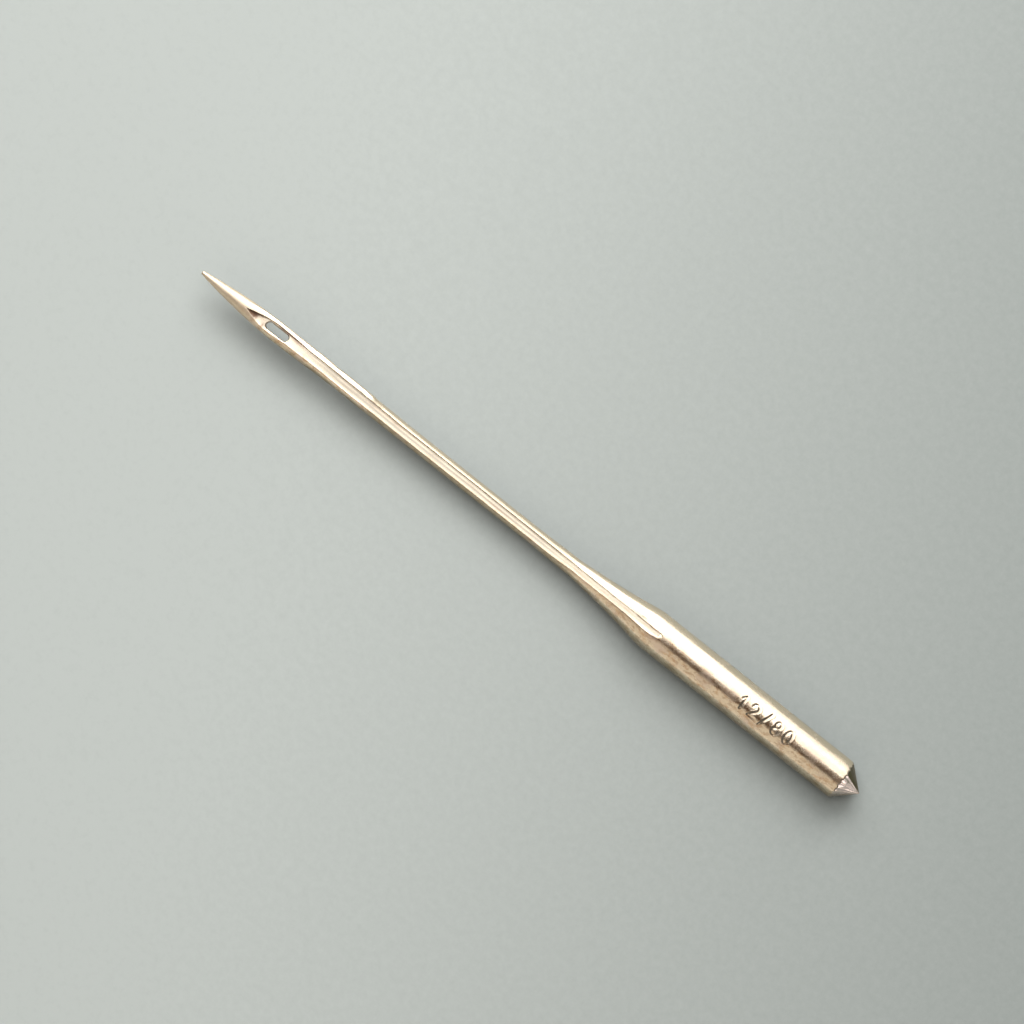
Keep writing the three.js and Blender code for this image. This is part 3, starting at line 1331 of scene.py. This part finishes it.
    def build(self) -> bpy.types.Object:
        """Joins the grids, closes both ends, welds shared points and makes the mesh object.

        Returns:
            The needle's object, at the origin.
        """
        halves = [self.shell(side) for side in Side]
        shells = halves + [self.eye_wall(half) for half in halves]
        starts = np.cumsum([0] + [shell.points[..., 0].size for shell in shells])
        quads = [
            self.grid_faces(*shell.points.shape[:2], start, shell.flipped)
            for shell, start in zip(shells, starts)
        ]
        poles = np.array([(self.at.butt, 0.0, self.at.axis), (self.at.tip, 0.0, self.at.axis)])
        points = np.vstack([shell.points.reshape(-1, 3) for shell in shells] + [poles])
        butt, tip = len(points) - 2, len(points) - 1
        fans = []
        for half, start in zip(halves, starts):
            rows, columns = half.points.shape[:2]
            first = start + np.arange(columns)
            fans.append(self.fan_faces(butt, first, half.flipped))
            fans.append(self.fan_faces(tip, first + (rows - 1) * columns, not half.flipped))
        keys = np.round(points * WELD_STEPS).astype(np.int64)
        _, kept, welded = np.unique(keys, axis=0, return_index=True, return_inverse=True)
        welded = welded.ravel()
        faces = welded[np.vstack(quads)].tolist() + welded[np.vstack(fans)].tolist()
        mesh = bpy.data.meshes.new("needle")
        mesh.from_pydata((points[kept] * MILLIMETRE).tolist(), [], faces)
        for share in Share:
            grids = [shell.shares[share].ravel() for shell in shells]
            values = np.concatenate([*grids, np.zeros(len(poles))])
            layer = mesh.attributes.new(share.value, "FLOAT", "POINT")
            layer.data.foreach_set("value", values[kept].astype(np.float32))
        mesh.polygons.foreach_set("use_smooth", np.ones(len(faces), dtype=bool))
        mesh.set_sharp_from_angle(angle=math.radians(self.sharp_angle))
        mesh.update()
        needle = bpy.data.objects.new("needle", mesh)
        bpy.context.scene.collection.objects.link(needle)
        return needle

    def dress(self, needle: bpy.types.Object, finish: "AgedNickel") -> None:
        """Gives the needle its finish and its body, and hides the sections that it stands for.

        Args:
            needle: the needle's object.
            finish: what its surface is made of.
        """
        needle.data.materials.append(finish.material())
        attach(needle, "root")
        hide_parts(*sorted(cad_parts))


@dataclass(frozen=True)
class Noise:
    """A noise on object coordinates: waves in a metre along X, Y and Z, octaves and their weight."""

    waves: Triple
    octaves: float
    weight: float = 0.55


@dataclass(frozen=True)
class Tint:
    """A colour that shows where a noise is high: between two marks it grows to its strength."""

    colour: Colour
    marks: Pair
    strength: float


class Graph:
    """Short hand for the nodes of a material or of the world."""

    def __init__(self, owner: bpy.types.Material | bpy.types.World) -> None:
        """Clears the owner's nodes.

        Args:
            owner: material or world that the nodes belong to.
        """
        owner.use_nodes = True
        self.tree = owner.node_tree
        self.tree.nodes.clear()

    def add(self, kind: str, **inputs: object) -> bpy.types.Node:
        """Adds a node and sets or links its named inputs.

        Args:
            kind: type of the node.
            inputs: values or sockets by input name, with _ for a space.

        Returns:
            The node.
        """
        node = self.tree.nodes.new(kind)
        for name, value in inputs.items():
            self.put(node.inputs[name.replace("_", " ")], value)
        return node

    def put(self, socket: Socket, value: object) -> None:
        """Sets a socket to a value, or links it to another socket.

        Args:
            socket: input to fill.
            value: plain value or output socket.
        """
        if isinstance(value, Socket):
            self.tree.links.new(value, socket)
        else:
            socket.default_value = value

    def fill(self, node: bpy.types.Node, *values: object) -> None:
        """Sets or links the first inputs of a node in order."""
        for socket, value in zip(node.inputs, values):
            self.put(socket, value)

    def math(self, operation: str, first: object, second: object) -> Socket:
        """Result of a Math node on two values or sockets.

        Args:
            operation: what the node does.
            first: first value or socket.
            second: second value or socket.

        Returns:
            The result.
        """
        node = self.tree.nodes.new("ShaderNodeMath")
        node.operation = operation
        self.fill(node, first, second)
        return node.outputs[0]

    def remap(self, value: object, marks: Pair, result: Pair = (0.0, 1.0)) -> Socket:
        """Value moved smoothly from the range between two marks to the range of the result.

        Args:
            value: value or socket to move.
            marks: where the result starts and stops to change.
            result: its values there.

        Returns:
            The moved value.
        """
        node = self.tree.nodes.new("ShaderNodeMapRange")
        node.interpolation_type = "SMOOTHSTEP"
        self.fill(node, value, *marks, *result)
        return node.outputs[0]

    def mix(self, share: object, first: object, second: object) -> Socket:
        """Colour between two colours.

        Args:
            share: share of the second colour.
            first: first colour.
            second: second colour.

        Returns:
            The mixed colour.
        """
        node = self.tree.nodes.new("ShaderNodeMix")
        node.data_type = "RGBA"
        # The node has sockets of these numbers for its share, its two colours and the mixed colour
        for index, value in ((0, share), (6, first), (7, second)):
            self.put(node.inputs[index], value)
        return node.outputs[2]

    def place(self) -> Socket:
        """Object coordinates, in metres."""
        return self.add("ShaderNodeTexCoord").outputs["Object"]

    def noise(self, noise: Noise) -> Socket:
        """Height of a noise, about 0 to 1.

        Args:
            noise: its fineness and octaves.

        Returns:
            The height.
        """
        mapped = self.add("ShaderNodeMapping", Vector=self.place(), Scale=noise.waves).outputs[0]
        octaves = {"Detail": noise.octaves, "Roughness": noise.weight}
        return self.add("ShaderNodeTexNoise", Vector=mapped, Scale=1.0, **octaves).outputs["Fac"]

    def tint(self, tint: Tint, noise: Socket) -> Socket:
        """Share of a tint where its noise is high."""
        return self.remap(noise, tint.marks, (0.0, tint.strength))

    def along(self, place: Socket, direction: Triple) -> Socket:
        """Distance of a place along a direction: their dot product.

        Args:
            place: vector socket.
            direction: direction to measure along.

        Returns:
            The distance.
        """
        node = self.tree.nodes.new("ShaderNodeVectorMath")
        node.operation = "DOT_PRODUCT"
        self.fill(node, place, direction)
        return node.outputs["Value"]

    def attribute(self, share: Share) -> Socket:
        """Value of one of the needle's shares.

        Args:
            share: which one.

        Returns:
            The value.
        """
        node = self.tree.nodes.new("ShaderNodeAttribute")
        node.attribute_name = share.value
        return node.outputs["Fac"]

    def bump(self, strength: Socket, depth: float, height: Socket, under: Socket | None = None) -> Socket:
        """Normal of a fine relief, laid over the normal of another one if given.

        Args:
            strength: how much of the relief shows.
            depth: its depth in metres.
            height: its height as a share of the depth.
            under: normal that it is laid over.

        Returns:
            The normal.
        """
        node = self.add("ShaderNodeBump", Strength=strength, Distance=depth, Height=height)
        if under is not None:
            self.put(node.inputs["Normal"], under)
        return node.outputs[0]


@dataclass(frozen=True)
class AgedNickel:
    """Old nickel plate: warm and glossy, with brown and pink tarnished spots, long scratches, matt
    recesses, grime and painted shade.
    """

    plate: Colour = (0.88, 0.735, 0.555, 1.0)
    pink: Tint = Tint((0.84, 0.66, 0.56, 1.0), (0.5, 0.68), 0.6)
    brown: Tint = Tint((0.66, 0.43, 0.25, 1.0), (0.46, 0.70), 0.65)
    speck: Tint = Tint((0.46, 0.29, 0.17, 1.0), (0.5, 0.66), 0.4)
    cream: Colour = (0.31, 0.278, 0.228, 1.0)
    rust: Tint = Tint((0.24, 0.165, 0.12, 1.0), (0.5, 0.64), 0.75)
    soil_and_shade: Colour = (0.25, 0.125, 0.068, 1.0)
    steel: Colour = (0.68, 0.57, 0.54, 1.0)
    darkening: Colour = (0.125, 0.112, 0.06, 1.0)
    dull_cover: float = 0.9
    dirt_and_shade_cover: float = 0.9
    mark_cover: float = 0.12
    patches: Noise = Noise((900.0, 1500.0, 1500.0), 4.0)
    spots: Noise = Noise((2200.0, 3400.0, 3400.0), 4.0, 0.6)
    grain: Noise = Noise((4200.0, 6500.0, 6500.0), 3.0)
    streaks: Noise = Noise((260.0, 11000.0, 11000.0), 3.0)
    gloss_marks: Pair = (0.35, 0.7)
    gloss: Pair = (0.19, 0.32)
    drawn: float = 0.32
    matt: float = 0.55
    point_wear: float = 0.26
    point_wear_from: Pair = (0.0284, 0.0300)
    scored: Pair = (0.35, 1.0)
    pitted: Pair = (0.1, 0.6)
    scratch_depth: float = 4.0e-6
    spot_depth: float = 4.0e-6
    grain_depth: float = 8.0e-6

    def colour(self, graph: Graph, shares: dict[Share, Socket], noises: dict[Noise, Socket]) -> Socket:
        """Tarnished plate, then what lies on it: dull recess, grime with painted shade, bare steel, and the
        darkening of cone, blade and left flank, the last being painted shade.

        Args:
            graph: the material's nodes.
            shares: the needle's shares.
            noises: heights of the noises.

        Returns:
            The colour.
        """
        colour = self.plate
        blotches = ((self.pink, self.patches), (self.brown, self.spots), (self.speck, self.grain))
        for tint, noise in blotches:
            share = graph.math("MULTIPLY", shares[Share.MOTTLED], graph.tint(tint, noises[noise]))
            colour = graph.mix(share, colour, tint.colour)
        dull = graph.mix(graph.tint(self.rust, noises[self.streaks]), self.cream, self.rust.colour)
        # The second cover is brown grime with painted shade in the groove; the stamped strokes hold grime
        covers = (
            (Share.RECESS, self.dull_cover, dull),
            (Share.DIRT_AND_SHADE, self.dirt_and_shade_cover, self.soil_and_shade),
            (Share.MARK, self.mark_cover, self.soil_and_shade),
        )
        for share, cover, top in covers:
            colour = graph.mix(graph.math("MULTIPLY", shares[share], cover), colour, top)
        colour = graph.mix(shares[Share.GROUND], colour, self.steel)
        # Darkening: the cone's dark side, darker blade plate and painted shade on the left flank
        return graph.mix(shares[Share.DARKENING], colour, self.darkening)

    def roughness(self, graph: Graph, shares: dict[Share, Socket], noises: dict[Noise, Socket]) -> Socket:
        """Uneven gloss, rougher on the rubbed point, and the highest of it and recess, grime with painted
        shade, and darkening.

        Args:
            graph: the material's nodes.
            shares: the needle's shares.
            noises: heights of the noises.

        Returns:
            The roughness.
        """
        length = graph.along(graph.place(), (1.0, 0.0, 0.0))
        highlighted = graph.remap(length, self.point_wear_from, (0.0, self.point_wear))
        rough = graph.math("ADD", highlighted, graph.remap(noises[self.patches], self.gloss_marks, self.gloss))
        for share, level in ((Share.RECESS, self.drawn), (Share.DIRT_AND_SHADE, self.matt), (Share.DARKENING, self.matt)):
            rough = graph.math("MAXIMUM", rough, graph.math("MULTIPLY", shares[share], level))
        return rough

    def normal(self, graph: Graph, shares: dict[Share, Socket], noises: dict[Noise, Socket]) -> Socket:
        """Fine relief: lengthwise scratches, deeper in recesses, under the pits of the tarnished spots.

        Args:
            graph: the material's nodes.
            shares: the needle's shares.
            noises: heights of the noises.

        Returns:
            The normal.
        """
        scored = graph.remap(shares[Share.RECESS], (0.0, 1.0), self.scored)
        pitted = graph.remap(shares[Share.MOTTLED], (0.0, 1.0), self.pitted)
        scratches = graph.bump(scored, self.scratch_depth, noises[self.streaks])
        pits = graph.bump(pitted, self.spot_depth, noises[self.spots], scratches)
        return graph.bump(pitted, self.grain_depth, noises[self.grain], pits)

    def material(self) -> bpy.types.Material:
        """Makes the node material. Grime with painted shade is the one part of it that isn't metal.

        Returns:
            The material.
        """
        material = bpy.data.materials.new("aged_nickel")
        graph = Graph(material)
        shares = {share: graph.attribute(share) for share in Share}
        layers = (self.patches, self.spots, self.grain, self.streaks)
        noises = {layer: graph.noise(layer) for layer in layers}
        # Grime and painted shade are the part that isn't metal
        dirt_and_shade_share = graph.math("MULTIPLY", shares[Share.DIRT_AND_SHADE], self.dirt_and_shade_cover)
        shader = graph.add(
            "ShaderNodeBsdfPrincipled",
            Base_Color=self.colour(graph, shares, noises),
            Metallic=graph.math("SUBTRACT", 1.0, dirt_and_shade_share),
            Roughness=self.roughness(graph, shares, noises),
            Normal=self.normal(graph, shares, noises),
        )
        graph.add("ShaderNodeOutputMaterial", Surface=shader.outputs[0])
        return material


@dataclass(frozen=True)
class Table:
    """The plain pale table top that the needle lies on, in metres."""

    half: float = 1.5
    bright: Colour = (0.562, 0.597, 0.568, 1.0)
    dim: Colour = (0.340, 0.369, 0.350, 1.0)
    dim_right: float = 0.97
    dim_down: float = 0.22
    fade: float = 0.030
    paper: Noise = Noise((2600.0, 2600.0, 2600.0), 4.0, 0.75)
    speckle: float = 0.45
    roughness: float = 0.7
    specular: float = 0.2
    dip: float = 0.0005
    dip_along: Pair = (0.014, 0.040)
    dip_rows: int = 21

    def paint(self, towards_dim: Vector) -> bpy.types.Material:
        """Makes the paint: pale, darker towards one side as painted fall-off of light, with a fine speckle.

        Args:
            towards_dim: direction in which the colour gets darker.

        Returns:
            The material.
        """
        material = bpy.data.materials.new("table_paint")
        graph = Graph(material)
        across = graph.along(graph.place(), tuple(towards_dim))
        uneven = graph.math("SUBTRACT", graph.noise(self.paper), 0.5)
        speckle = graph.math("MULTIPLY", uneven, self.speckle)
        share = graph.math("ADD", graph.remap(across, (-self.fade, self.fade)), speckle)
        shader = graph.add(
            "ShaderNodeBsdfPrincipled",
            Base_Color=graph.mix(share, self.bright, self.dim),
            Roughness=self.roughness,
            Specular_IOR_Level=self.specular,
        )
        graph.add("ShaderNodeOutputMaterial", Surface=shader.outputs[0])
        return material

    def build(self, camera: bpy.types.Object) -> bpy.types.Object:
        """Makes the table top: level under the shank, a little lower under the tip.

        Args:
            camera: camera whose right and up the fading of the paint follows.

        Returns:
            The table top.
        """
        right, up = (camera.matrix_world.col[i].to_3d() for i in (0, 1))
        mesh = bpy.data.meshes.new("table_top")
        x = np.concatenate([[-self.half], np.linspace(*self.dip_along, self.dip_rows), [self.half]])
        z = -self.dip * ease(x, self.dip_along)
        points = np.stack([np.stack([x, np.full_like(x, y), z], axis=1) for y in (-self.half, self.half)])
        mesh.from_pydata(points.reshape(-1, 3).tolist(), [], Needle.grid_faces(2, len(x), 0, True).tolist())
        mesh.polygons.foreach_set("use_smooth", np.ones(len(mesh.polygons), dtype=bool))
        # The paint darkens towards the picture's right and bottom: painted fall-off of light
        mesh.materials.append(self.paint(self.dim_right * right - self.dim_down * up))
        table = bpy.data.objects.new("table_top", mesh)
        bpy.context.scene.collection.objects.link(table)
        return table


@dataclass(frozen=True)
class Lamp:
    """A soft rectangular lamp or card that faces the needle, with angles in degrees seen from there."""

    name: str
    azimuth: float
    elevation: float
    wide: float
    tall: float
    radiance: float
    colour: Triple = (1.0, 1.0, 1.0)
    distance: float = 0.4

    def span(self, angle: float) -> float:
        """Length that fills an angle at the lamp's distance."""
        return 2.0 * self.distance * math.tan(math.radians(angle) / 2.0)

    def build(self, target: Vector) -> bpy.types.Object:
        """Makes the lamp at its direction and distance from the target, with even radiance over its face.

        Args:
            target: point that the lamp faces, in metres.

        Returns:
            The lamp.
        """
        data = bpy.data.lights.new(self.name, "AREA")
        data.shape = "RECTANGLE"
        data.size = self.span(self.wide)
        data.size_y = self.span(self.tall)
        data.color = self.colour
        data.energy = self.radiance * math.pi * data.size * data.size_y
        lamp = bpy.data.objects.new(self.name, data)
        turn = math.radians(self.azimuth)
        lean = math.radians(self.elevation)
        level = Vector((math.cos(turn), math.sin(turn), 0.0))
        away = level * math.cos(lean) + Vector((0.0, 0.0, math.sin(lean)))
        lamp.location = target + away * self.distance
        lamp.rotation_euler = away.to_track_quat("Z", "Y").to_euler()
        bpy.context.scene.collection.objects.link(lamp)
        return lamp


@dataclass(frozen=True)
class Studio:
    """Soft light: a window lamp, a strip, three cards and a dim room with pale walls and a dark bar."""

    target: Triple = (0.014, 0.0, 0.0006)
    room: Colour = (0.09, 0.094, 0.094, 1.0)
    wall: Colour = (0.42, 0.43, 0.42, 1.0)
    wall_to: Pair = (0.08, 0.2)
    dark: Colour = (0.08, 0.034, 0.008, 1.0)
    dark_across: Triple = (-0.93, 0.37, 0.0)
    dark_start: float = 2.0
    dark_stop: float = 13.5
    dark_edge: float = 1.2
    dark_above: Pair = (0.45, 0.65)

    def lamps(self) -> list[Lamp]:
        """The lamps and cards. Their azimuths count from +X towards +Y.

        Returns:
            The lamps and cards, in order.
        """
        # Name, azimuth, elevation, width and height in degrees, radiance and colour
        return [
            Lamp("window_lamp", 309.0, 33.5, 64.0, 27.0, 5.5),
            Lamp("strip_lamp", 274.0, 41.0, 26.0, 78.0, 2.2),
            Lamp("top_card", 338.0, 73.0, 28.0, 38.0, 1.4),
            Lamp("warm_card", 88.0, 32.0, 40.0, 58.0, 0.6, (1.0, 0.915, 0.78)),
            Lamp("butt_card", 172.0, 14.0, 44.0, 18.0, 2.6, (1.0, 0.96, 0.94)),
        ]

    def dark_edges(self, angle: float) -> Pair:
        """Sines of the angles in degrees where one edge of the dark bar starts and ends."""
        return tuple(math.sin(math.radians(angle + side)) for side in (-self.dark_edge, self.dark_edge))

    def build(self) -> None:
        """Makes the lamps and the room's light."""
        for lamp in self.lamps():
            lamp.build(Vector(self.target))
        world = bpy.data.worlds.new("room")
        bpy.context.scene.world = world
        graph = Graph(world)
        heading = graph.add("ShaderNodeTexCoord").outputs["Generated"]
        height = graph.along(heading, (0.0, 0.0, 1.0))
        across = graph.along(heading, self.dark_across)
        past_start = graph.remap(across, self.dark_edges(self.dark_start))
        before_stop = graph.remap(across, self.dark_edges(self.dark_stop), (1.0, 0.0))
        inside = graph.math("MULTIPLY", past_start, before_stop)
        inside = graph.math("MULTIPLY", inside, graph.remap(height, self.dark_above))
        colour = graph.mix(graph.remap(height, self.wall_to), self.wall, self.room)
        colour = graph.mix(inside, colour, self.dark)
        glow = graph.add("ShaderNodeBackground", Color=colour, Strength=1.0)
        graph.add("ShaderNodeOutputWorld", Surface=glow.outputs[0])


@dataclass(frozen=True)
class OverheadCamera:
    """A camera straight above the needle, turned so that tip and butt fall on their pixels."""

    picture: float = 1024.0
    tip_pixel: Pair = (202.0, 272.0)
    butt_pixel: Pair = (859.2, 793.9)
    height: float = 200.0
    sensor: float = 36.0
    clip_start: float = 0.01
    clip_end: float = 10.0

    def build(self, at: Stations) -> bpy.types.Object:
        """Works out scale, place and turn from the two pixels and makes the camera.

        Args:
            at: the needle's stations.

        Returns:
            The camera.
        """
        tip = np.array(self.tip_pixel)
        run = np.array(self.butt_pixel) - tip
        along = run / np.linalg.norm(run)
        across = np.array([-along[1], along[0]])
        scale = (at.tip - at.butt) / np.linalg.norm(run)
        offset = np.full(2, self.picture / 2.0) - tip
        ahead = at.tip - scale * (offset @ along)
        place = Vector((ahead, scale * (offset @ across), at.axis + self.height))
        data = bpy.data.cameras.new("overhead_camera")
        data.sensor_width = self.sensor
        data.lens = self.sensor * self.height / (self.picture * scale)
        data.clip_start = self.clip_start
        data.clip_end = self.clip_end
        camera = bpy.data.objects.new("overhead_camera", data)
        right = Vector((-along[0], -along[1], 0.0))
        up = Vector((along[1], -along[0], 0.0))
        turn = Matrix((right, up, right.cross(up))).transposed()
        camera.matrix_world = Matrix.Translation(place * MILLIMETRE) @ turn.to_4x4()
        bpy.context.scene.collection.objects.link(camera)
        bpy.context.scene.camera = camera
        return camera


def main() -> None:
    """Builds camera, light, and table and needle."""
    logging.basicConfig(level=logging.INFO, format="%(name)s: %(message)s")
    bpy.context.scene.view_settings.view_transform = "Standard"
    bpy.context.scene.cycles.caustics_reflective = False
    stations = Stations.from_frame()
    camera = OverheadCamera().build(stations)
    Studio().build()
    Table().build(camera)
    maker = Needle(stations)
    needle = maker.build()
    maker.dress(needle, AgedNickel())
    LOG.info("needle: %d points, %d faces", len(needle.data.vertices), len(needle.data.polygons))


if __name__ == "__main__":
    main()
